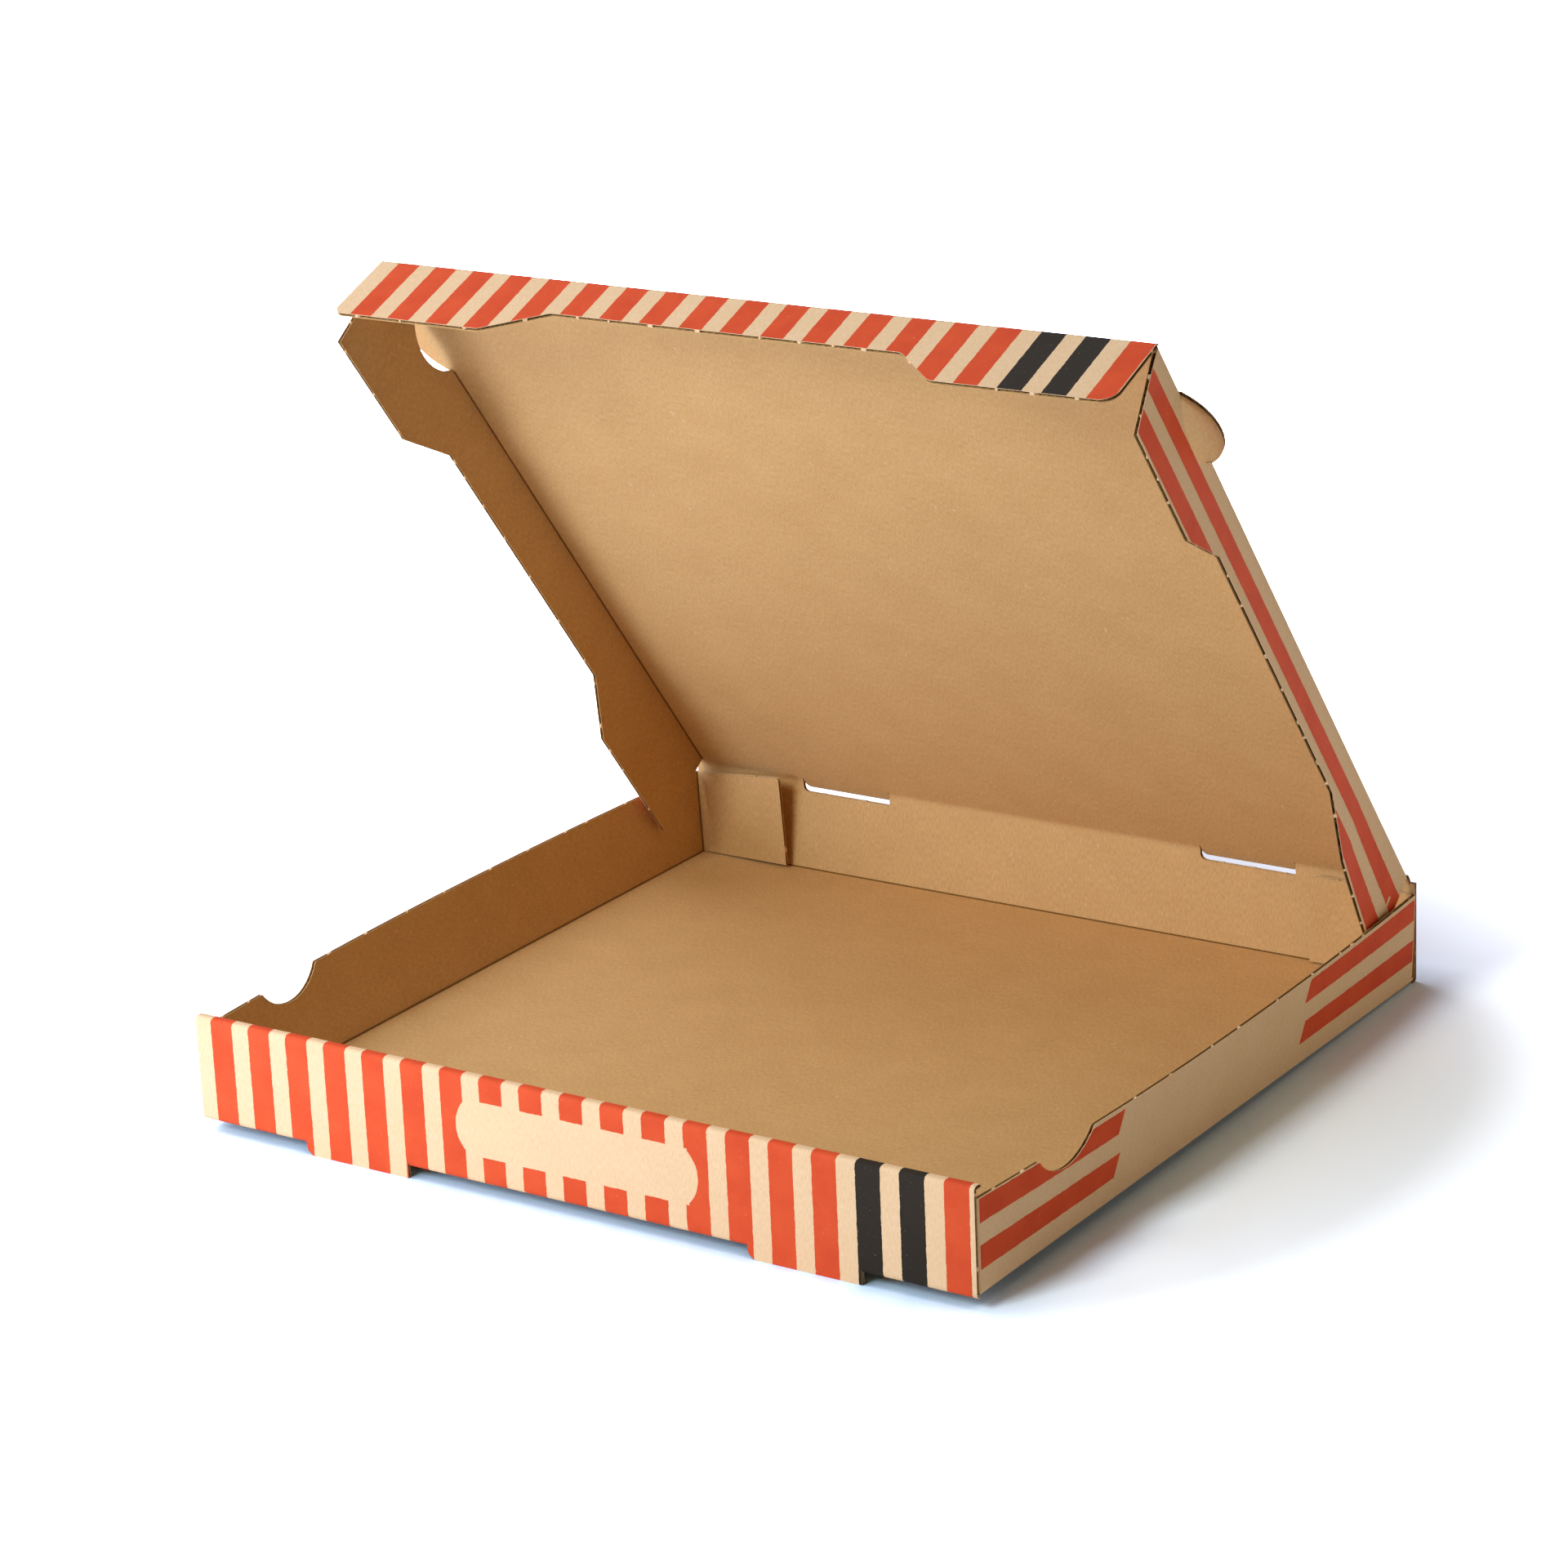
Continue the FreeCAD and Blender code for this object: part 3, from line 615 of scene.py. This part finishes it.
class Board:
    """One piece of folded board: its mesh as it grows, and the cut edges that still need fluting."""

    def __init__(self, name):
        self.name = name
        self.mesh = bmesh.new()
        self.sheet = self.mesh.loops.layers.uv.new("sheet")
        self.grain = self.mesh.loops.layers.uv.new("grain")
        self.cuts = []
        self.fold_axis = None

    def face(self, points, flat, across_u, material):
        made = self.mesh.faces.new(points)
        # Inner faces on the arc of a fold take the painted fold shade instead of the plain inner liner.
        if material == INSIDE and self.fold_axis is not None:
            middle = sum(spot[self.fold_axis] for spot in flat) / len(flat)
            material = FOLD_SHADE if BEND_START < middle < FOLD else INSIDE
        made.material_index = material
        made.smooth = True
        for loop, (u, v) in zip(made.loops, flat):
            loop[self.sheet].uv = (u / 1000, v / 1000)
            loop[self.grain].uv = (u / 1000, v / 1000) if across_u else (v / 1000, u / 1000)

    def slab(self, sheet, place, low, high, across_u, top, bottom, side):
        """A closed slab of paper between two depths, folded into its place."""
        corners, faces, rim = sheet
        upper = [self.mesh.verts.new(Vector(place(u, v, low)) / 1000) for u, v in corners]
        lower = [self.mesh.verts.new(Vector(place(u, v, high)) / 1000) for u, v in corners]
        a, b, c = (upper[n].co for n in faces[0][:3])
        turned = (b - a).cross(c - a).dot(lower[faces[0][0]].co - a) > 0
        for shape in faces:
            up, down = shape[::-1] if turned else shape, shape if turned else shape[::-1]
            self.face([upper[n] for n in up], [corners[n] for n in up], across_u, top)
            self.face([lower[n] for n in down], [corners[n] for n in down], across_u, bottom)
        for first, last in rim:
            ring = [(upper, last), (upper, first), (lower, first), (lower, last)]
            ring = ring[::-1] if turned else ring
            self.face([layer[n] for layer, n in ring], [corners[n] for _, n in ring], across_u, side)

    def panel(self, corners, place, skin=OUTSIDE, cuts_u=(), cuts_v=(), across_u=True):
        points = outline(corners)
        self.fold_axis = 1 if FOLDS[0] in cuts_v else 0 if FOLDS[0] in cuts_u else None
        whole = flat_sheet(points, cuts_u, cuts_v)
        inner = flat_sheet(drawn_in(points, RECESS), cuts_u, cuts_v)
        self.slab(whole, place, 0.0, LINER, across_u, skin, OUTSIDE, OUTSIDE)
        # The core slab carries the painted shade of the gap between the liners.
        self.slab(inner, place, LINER, BOARD - LINER, across_u, CORE, CORE, CORE)
        self.slab(whole, place, BOARD - LINER, BOARD, across_u, INSIDE, INSIDE, INSIDE)
        self.cuts.append((points, place, across_u))
        self.nicks(points, place, across_u)

    def nicks(self, points, place, across_u):
        """Torn paper where the die left a bridge: short pale bits over the gap of a cut edge."""
        chance = random.Random(len(self.cuts) * 7 + len(points))
        for n, here in enumerate(points):
            after = points[(n + 1) % len(points)]
            way = Vector((after[0] - here[0], after[1] - here[1]))
            if here[2] != "cut" or way.length < 9:
                continue
            along = way.normalized()
            inward = Vector((-along.y, along.x))
            at = chance.uniform(3, 14)
            while at < way.length - 3:
                size = chance.uniform(0.5, 1.3)
                spots = [(at - size, TORN_ROOT), (at - size * chance.random(), -0.2),
                         (at + size * chance.random(), -0.14), (at + size, TORN_ROOT)]
                corners = [tuple(Vector(here[:2]) + along * a + inward * b) for a, b in spots]
                deep = chance.uniform(0.7, 1.3)
                bit = (corners, [(0, 1, 2, 3)], [(0, 1), (1, 2), (2, 3), (3, 0)])
                self.slab(bit, place, chance.uniform(0.02, 0.3), deep, across_u, OUTSIDE, OUTSIDE, OUTSIDE)
                at += chance.uniform(9, 30)

    def object(self):
        data = bpy.data.meshes.new(self.name)
        self.mesh.to_mesh(data)
        for material in MATERIALS:
            data.materials.append(material)
        data.set_sharp_from_angle(angle=math.radians(35))
        made = bpy.data.objects.new(self.name, data)
        bpy.context.scene.collection.objects.link(made)
        return made


ROLL_LINES = lines_of_fold(ROLL_RISE, ROLL) + [ROLL_RISE] + lines_of_fold(ROLL_FLAT, ROLL) + [ROLL_FLAT]
print("each fold has", len(FOLDS), "lines")

# %% The tray
tray = Board("tray_board")
tray.panel(floor_line, floor, cuts_u=range(-150, 151, 30), cuts_v=range(-150, 151, 30))
tray.panel(front_line, front_wall, skin=FRONT_INK, cuts_v=ROLL_LINES, cuts_u=range(-160, 161, 20))
for start, end in ((-165.0, -117.0), (-71.0, 74.0), (120.0, 165.0)):
    strip = [(start, BEND_START, 0, "fold"), (end, BEND_START), (end, FOLD, 0, "fold"), (start, FOLD)]
    tray.panel(strip, front_bend, skin=FRONT_INK, cuts_v=FOLDS[:-1])
for sign in (-1, 1):
    tray.panel(side_line, side_wall(sign), skin=SIDE_INK, cuts_u=range(-156, 157, 6), cuts_v=FOLDS, across_u=False)
    tray.panel(tab_line(60.0, 1.65, 35.3), wall_tab(sign, -1), cuts_u=FOLDS)
rear_left_tab = tab_line(44.8, 1.8, SIDE_TOP, 0.8, 48.3)
rear_right_tab = tab_line(43.0, 1.8, SIDE_TOP, 1.5)
rear_cuts = {"cuts_u": FOLDS + [10, 20, 30, 40], "cuts_v": [9, 18, 27]}
nearly_home = wall_tab(1, 1, swing_top=2.6, swing_low=1.4, lift_top=1.6, lift_low=0.4)
tray.panel(rear_right_tab, nearly_home, **rear_cuts)
tray.panel(back_line, back_wall, cuts_v=FOLDS)
tray_board = tray.object()
sprung_tab = Board("tray_rear_left_tab")
sprung = wall_tab(-1, 1, swing_top=8.0, swing_low=2.3, lift_top=5.9, lift_low=0.9)
sprung_tab.panel(rear_left_tab, sprung, **rear_cuts)
tray_rear_left_tab = sprung_tab.object()
print(tray_board.name, len(tray_board.data.polygons), "faces")

# %% The lid
lid = Board("lid_board")
lid.panel(panel_line, lid_panel, cuts_u=range(-150, 151, 30), cuts_v=range(0, 314, 30))
lid.panel(flap_line, lid_side(-1), skin=LID_SIDE_INK, cuts_v=FOLDS, across_u=False)
lid_board = lid.object()
front_flap = Board("lid_front_flap")
front_flap.panel(tuck_line, lid_front, skin=LID_FRONT_INK, cuts_v=FOLDS)
lid_front_flap = front_flap.object()
right_flap = Board("lid_right_flap")
right_flap.panel(flap_line, lid_side(1, 12.5), skin=LID_SIDE_INK, cuts_v=FOLDS,
                 cuts_u=list(range(8, 72, 6)) + [120, 180, 231, 258], across_u=False)
lid_right_flap = right_flap.object()
print(lid_board.name, len(lid_board.data.polygons), "faces")

# %% The crease
crease_board = Board("crease_board")
edges = [-LID_HALF] + [n for start, end in SLOT_SPANS for n in (start - 0.35, end + 0.35)] + [LID_HALF]
for start, end in zip(edges[::2], edges[1::2]):
    length = CREASE_ROUND * CREASE_TURN
    strip = [(start, 0.0, 0, "fold"), (end, 0.0), (end, length, 0, "fold"), (start, length)]
    crease_board.panel(strip, crease, cuts_v=[length * n / 8 for n in range(1, 8)])
lid_crease = crease_board.object()
print(lid_crease.name, len(lid_crease.data.polygons), "faces")

# %% [markdown]
# ## Fluting along the cut edges
#
# Seen from its edge, board shows a wave where the cut crosses the flutes, and a long broken line where
# it runs along them. A Geometry Nodes tree makes that paper from the outline: it samples the edge
# every half millimetre, lifts each point by a sine of its place across the flutes, draws the line
# inwards to a ribbon and gives the ribbon the thickness of paper. It works on the flat sheet, and the
# result is folded with the same functions as the panels.

# %% The fluting tree
def fluting_tree():
    tree = bpy.data.node_groups.new("fluting", "GeometryNodeTree")
    face = tree.interface
    face.new_socket("Geometry", in_out="OUTPUT", socket_type="NodeSocketGeometry")
    face.new_socket("Geometry", in_out="INPUT", socket_type="NodeSocketGeometry")
    for name in ("Pitch", "Height", "Depth", "Paper", "Step", "Wander"):
        face.new_socket(name, in_out="INPUT", socket_type="NodeSocketFloat")
    face.new_socket("Material", in_out="INPUT", socket_type="NodeSocketMaterial")
    given = add(tree, "NodeGroupInput").outputs
    curve = add(tree, "GeometryNodeMeshToCurve", {"Mesh": given["Geometry"]})
    line = add(tree, "GeometryNodeResampleCurve", {"Curve": curve.outputs[0]}, mode="LENGTH")
    tree.links.new(given["Step"], line.inputs["Length"])
    edge = add(tree, "GeometryNodeCurveToMesh", {"Curve": line.outputs[0]})
    across = add(tree, "GeometryNodeInputNamedAttribute", {"Name": "across"}, data_type="FLOAT")
    inward = add(tree, "GeometryNodeInputNamedAttribute", {"Name": "inward"}, data_type="FLOAT_VECTOR")
    drift = add(tree, "ShaderNodeTexNoise", {"Scale": 28.0, "Detail": 2.0, "W": 3.0}, noise_dimensions="4D")
    centred = add(tree, "ShaderNodeMath", {0: drift.outputs[0], 1: 0.5}, operation="SUBTRACT")
    wander = add(tree, "ShaderNodeMath", {0: centred.outputs[0], 1: given["Wander"]}, operation="MULTIPLY")
    place = add(tree, "ShaderNodeMath", {0: across.outputs[0], 1: wander.outputs[0]}, operation="ADD")
    turns = add(tree, "ShaderNodeMath", {0: place.outputs[0], 1: given["Pitch"]}, operation="DIVIDE")
    angle = add(tree, "ShaderNodeMath", {0: turns.outputs[0], 1: 2 * math.pi}, operation="MULTIPLY")
    wave = add(tree, "ShaderNodeMath", {0: angle.outputs[0]}, operation="SINE")
    lift = add(tree, "ShaderNodeMath", {0: wave.outputs[0], 1: given["Height"]}, operation="MULTIPLY")
    offset = add(tree, "ShaderNodeCombineXYZ", {"Z": lift.outputs[0]})
    raised = add(tree, "GeometryNodeSetPosition", {"Geometry": edge.outputs[0], "Offset": offset.outputs[0]})
    depth = add(tree, "ShaderNodeVectorMath", {0: inward.outputs[0], "Scale": given["Depth"]}, operation="SCALE")
    ribbon = add(tree, "GeometryNodeExtrudeMesh", {
        "Mesh": raised.outputs[0], "Offset": depth.outputs[0]}, mode="EDGES")
    back = add(tree, "GeometryNodeFlipFaces", {"Mesh": ribbon.outputs[0]})
    thick = add(tree, "GeometryNodeExtrudeMesh", {
        "Mesh": ribbon.outputs[0], "Offset Scale": given["Paper"], "Individual": False}, mode="FACES")
    both = add(tree, "GeometryNodeJoinGeometry")
    tree.links.new(thick.outputs[0], both.inputs[0])
    tree.links.new(back.outputs[0], both.inputs[0])
    merged = add(tree, "GeometryNodeMergeByDistance", {"Geometry": both.outputs[0], "Distance": 1e-7})
    real = add(tree, "GeometryNodeRealizeInstances", {"Geometry": merged.outputs[0]})
    painted = add(tree, "GeometryNodeSetMaterial", {"Geometry": real.outputs[0], "Material": given["Material"]})
    add(tree, "NodeGroupOutput", {"Geometry": painted.outputs[0]})
    return tree


FLUTING_TREE = fluting_tree()
print("fluting tree has", len(FLUTING_TREE.nodes), "nodes")

# %% Run the tree on each piece of board
APART = 10.0
SET_BACK = 0.35


def rim_of(cuts):
    """The cut sides of flat outlines as loose edges, with their place across the flutes."""
    spots, joins, across, inward, panel = [], [], [], [], []
    for number, (points, place, across_u) in enumerate(cuts):
        for n, here in enumerate(points):
            after = points[(n + 1) % len(points)]
            if here[2] != "cut":
                continue
            way = Vector((after[0] - here[0], after[1] - here[1]))
            if way.length < 0.3:
                continue
            normal = Vector((-way.y, way.x)).normalized()
            joins.append((len(spots), len(spots) + 1))
            for x, y, _ in (here, after):
                spot = (x + normal.x * SET_BACK, y + normal.y * SET_BACK, BOARD / 2 + APART * number)
                spots.append(tuple(part / 1000 for part in spot))
                across.append((x if across_u else y) / 1000)
                inward.append((normal.x, normal.y, 0.0))
                panel.append(float(number))
    return spots, joins, across, inward, panel


def flute(board):
    spots, joins, across, inward, panel = rim_of(board.cuts)
    data = bpy.data.meshes.new(board.name + "_rim")
    data.from_pydata(spots, joins, [])
    data.attributes.new("across", "FLOAT", "POINT").data.foreach_set("value", across)
    data.attributes.new("panel", "FLOAT", "POINT").data.foreach_set("value", panel)
    flat = [part for vector in inward for part in vector]
    data.attributes.new("inward", "FLOAT_VECTOR", "POINT").data.foreach_set("vector", flat)
    rim = bpy.data.objects.new(board.name + "_rim", data)
    bpy.context.scene.collection.objects.link(rim)
    modifier = rim.modifiers.new("fluting", "NODES")
    modifier.node_group = FLUTING_TREE
    sizes = {"Pitch": FLUTE / 1000, "Height": 0.00040, "Depth": 0.0010, "Paper": 0.00018,
             "Step": 0.0004, "Wander": 0.0022, "Material": fluting_paper_and_shade}
    for item in FLUTING_TREE.interface.items_tree:
        if item.in_out == "INPUT" and item.name in sizes:
            modifier[item.identifier] = sizes[item.name]
    bpy.context.view_layer.update()
    made = bpy.data.meshes.new_from_object(rim.evaluated_get(bpy.context.evaluated_depsgraph_get()))
    numbers = [0.0] * len(made.vertices)
    made.attributes["panel"].data.foreach_get("value", numbers)
    for vertex, number in zip(made.vertices, numbers):
        place = board.cuts[round(number)][1]
        u, v, w = (part * 1000 for part in vertex.co)
        w -= APART * round(number)
        vertex.co = Vector(place(u, v, min(max(w, LINER), BOARD - LINER))) / 1000
    for name in ("across", "panel", "inward"):
        if name in made.attributes:
            made.attributes.remove(made.attributes[name])
    bpy.data.objects.remove(rim)
    result = bpy.data.objects.new(board.name + "_fluting", made)
    bpy.context.scene.collection.objects.link(result)
    print(result.name, len(made.polygons), "faces")
    return result


tray_fluting = flute(tray)
sprung_tab_fluting = flute(sprung_tab)
lid_fluting = flute(lid)
front_flap_fluting = flute(front_flap)
right_flap_fluting = flute(right_flap)

# %% [markdown]
# ## What moves with what
#
# The lid's board rides on the lid and the tray's on the tray. The crease between them rides on
# neither; its place is baked into its mesh. The front flap and the right side flap spring out a little
# at the opening drawn here, as they do on a carton that has been handled. The tab at the rear left
# corner has ridden up a little.

# %% Riding
on_tray = [tray_board, tray_fluting, tray_rear_left_tab, sprung_tab_fluting]
for piece in on_tray:
    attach(piece, "tray")
on_lid = [lid_board, lid_fluting, lid_front_flap, front_flap_fluting, lid_right_flap, right_flap_fluting]
for piece in on_lid:
    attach(piece, "lid")
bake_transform(lid_crease)


def press(pieces):
    """Give each leaning flap a mesh of its own."""
    for piece in pieces:
        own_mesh(piece)


press((lid_right_flap, right_flap_fluting))
press((lid_front_flap, front_flap_fluting))
for piece in (tray_rear_left_tab, sprung_tab_fluting):
    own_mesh(piece)
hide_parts("tray")
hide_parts("lid")

# %% [markdown]
# ## The stage
#
# The carton stands on a white table. Its front rests on two feet, so the table meets it on a slight
# slope. To the camera the table is as white as the background away from the carton, while every other
# ray sees an ordinary white surface, so no more light is needed on the board itself. Near the carton
# the camera's white is weaker, so the cast shadow stays, and at the contact the table's colour is
# darkened as painted shade.

# %% Table
def seen_by_camera(tree):
    """1 for a ray from the camera, also by way of a reflection or through something clear."""
    path = add(tree, "ShaderNodeLightPath").outputs
    seen = sum_of(tree, "MAXIMUM", path["Is Camera Ray"], path["Is Glossy Ray"])
    return sum_of(tree, "MAXIMUM", seen, path["Is Transmission Ray"])


TABLE_GAIN, FAR_GAIN, FAR_FROM, FAR_TO = 1.36, 9.0, 0.24, 0.8
CONTACT_REACH, CONTACT_SHADE = 0.035, 0.3
GREEN_SHARE, BLUE_SHARE = (1.02, 0.45), (1.0, 0.9)


def white_table():
    """Near the board's contact the table's colour is made a little darker, painted contact shade, and bluer, so the
    light off the board looks less warm there.
    """
    material, tree = new_material("white_table")
    seen = seen_by_camera(tree)
    plain = add(tree, "ShaderNodeBsdfDiffuse", {"Color": (0.8, 0.8, 0.8, 1.0)})
    spot = add(tree, "ShaderNodeTexCoord").outputs["Object"]
    away = add(tree, "ShaderNodeVectorMath", {0: spot}, operation="LENGTH").outputs["Value"]
    far_gain = sum_of(tree, "MULTIPLY", ramp(tree, away, FAR_FROM, FAR_TO), FAR_GAIN)
    gain = sum_of(tree, "ADD", TABLE_GAIN, far_gain)
    # Painted contact shade: where the board shuts out the sky, the table's colour is darkened and turned bluer.
    open_sky = add(tree, "ShaderNodeAmbientOcclusion", {"Distance": CONTACT_REACH}, samples=5).outputs["AO"]
    shut_in = sum_of(tree, "SUBTRACT", 1.0, open_sky)
    lit = sum_of(tree, "MULTIPLY", ramp(tree, open_sky, 0.35, 0.7), 1.0 - CONTACT_SHADE)
    gain = sum_of(tree, "MULTIPLY", gain, sum_of(tree, "ADD", CONTACT_SHADE, lit))
    tint = [gain]
    for far, close in (GREEN_SHARE, BLUE_SHARE):
        share = sum_of(tree, "ADD", far, sum_of(tree, "MULTIPLY", shut_in, close))
        tint.append(sum_of(tree, "MULTIPLY", gain, share))
    tint = add(tree, "ShaderNodeCombineColor", dict(enumerate(tint))).outputs[0]
    bright = add(tree, "ShaderNodeBsdfDiffuse", {"Color": tint})
    both = add(tree, "ShaderNodeMixShader", {0: seen, 1: plain.outputs[0], 2: bright.outputs[0]})
    add(tree, "ShaderNodeOutputMaterial", {"Surface": both.outputs[0]})
    return material


FEET = 4.35


def level(y):
    return -FEET + (y + DEEP / 2) * FEET / DEEP


table_data = bpy.data.meshes.new("table")
corners = [(x, y, level(y)) for x, y in ((-9000, -9000), (9000, -9000), (9000, 9000), (-9000, 9000))]
table_data.from_pydata([tuple(part / 1000 for part in corner) for corner in corners], [], [(0, 1, 2, 3)])
table_data.materials.append(white_table())
table = bpy.data.objects.new("table", table_data)
bpy.context.scene.collection.objects.link(table)
print("table slopes", round(math.degrees(math.atan(FEET / DEEP)), 2), "degrees")

# %% Camera
def direction(azimuth, elevation):
    """From the carton towards something at these angles: zero is straight ahead of its front wall."""
    a, e = math.radians(azimuth), math.radians(elevation)
    return Vector((math.sin(a) * math.cos(e), -math.cos(a) * math.cos(e), math.sin(e)))


def photo_camera():
    roll = math.radians(-2.49)
    back = direction(34.07, 18.67)
    right = Vector((0, 0, 1)).cross(back).normalized()
    up = back.cross(right)
    turned_right = right * math.cos(roll) + up * math.sin(roll)
    turned_up = up * math.cos(roll) - right * math.sin(roll)
    pixels, distance = 5760.6, 1.7618
    seen = Vector(((1009.1 - 960) / pixels * distance, -(1284.1 - 960) / pixels * distance, -distance))
    spot = -(turned_right * seen.x + turned_up * seen.y + back * seen.z)
    data = bpy.data.cameras.new("photo_camera")
    data.sensor_width = 36.0
    data.lens = pixels / 1920 * 36
    data.clip_start, data.clip_end = 0.05, 50.0
    camera = bpy.data.objects.new("photo_camera", data)
    bpy.context.scene.collection.objects.link(camera)
    turn = Matrix((turned_right, turned_up, back)).transposed().to_4x4()
    camera.matrix_world = Matrix.Translation(spot) @ turn
    bpy.context.scene.camera = camera
    return camera


camera = photo_camera()
print("camera at", [round(v, 3) for v in camera.location])

# %% Light
MIDDLE = Vector((0.0, 0.0, 0.08))
LAMPS = [
    # name, azimuth, elevation, distance, size, watts, colour
    ("near_softbox", -34.0, 4.0, 0.75, 0.3, 2.7, (0.87, 1.0, 1.4)),
    ("front_softbox", -12.0, 36.0, 1.7, 0.5, 15.6, (0.9, 1.0, 1.04)),
    ("left_softbox", -60.0, 15.0, 1.7, 0.9, 8.6, (0.9, 1.0, 1.35)),
    ("overhead_softbox", -95.0, 62.0, 1.9, 1.6, 21.0, (0.95, 1.0, 1.25)),
    ("right_softbox", 118.0, 14.0, 1.9, 1.0, 8.0, (1.1, 1.0, 0.86)),
]


def softbox(name, azimuth, elevation, distance, size, power, colour):
    """A square lamp that faces the carton."""
    back = direction(azimuth, elevation)
    data = bpy.data.lights.new(name, "AREA")
    data.shape, data.size, data.energy, data.color = "SQUARE", size, power, colour
    lamp = bpy.data.objects.new(name, data)
    bpy.context.scene.collection.objects.link(lamp)
    facing = back.to_track_quat("Z", "Y").to_matrix().to_4x4()
    lamp.matrix_world = Matrix.Translation(MIDDLE + back * distance) @ facing


for lamp in LAMPS:
    softbox(*lamp)
world = bpy.data.worlds.new("studio")
world.use_nodes = True
tree = world.node_tree
tree.nodes.clear()
seen = seen_by_camera(tree)
room = add(tree, "ShaderNodeBackground", {"Color": (1.0, 1.0, 1.0, 1.0), "Strength": 0.01})
white = add(tree, "ShaderNodeBackground", {"Color": (1.0, 1.0, 1.0, 1.0), "Strength": 1.0})
both = add(tree, "ShaderNodeMixShader", {0: seen, 1: room.outputs[0], 2: white.outputs[0]})
add(tree, "ShaderNodeOutputWorld", {"Surface": both.outputs[0]})
bpy.context.scene.world = world
bpy.context.scene.view_settings.view_transform = "Standard"
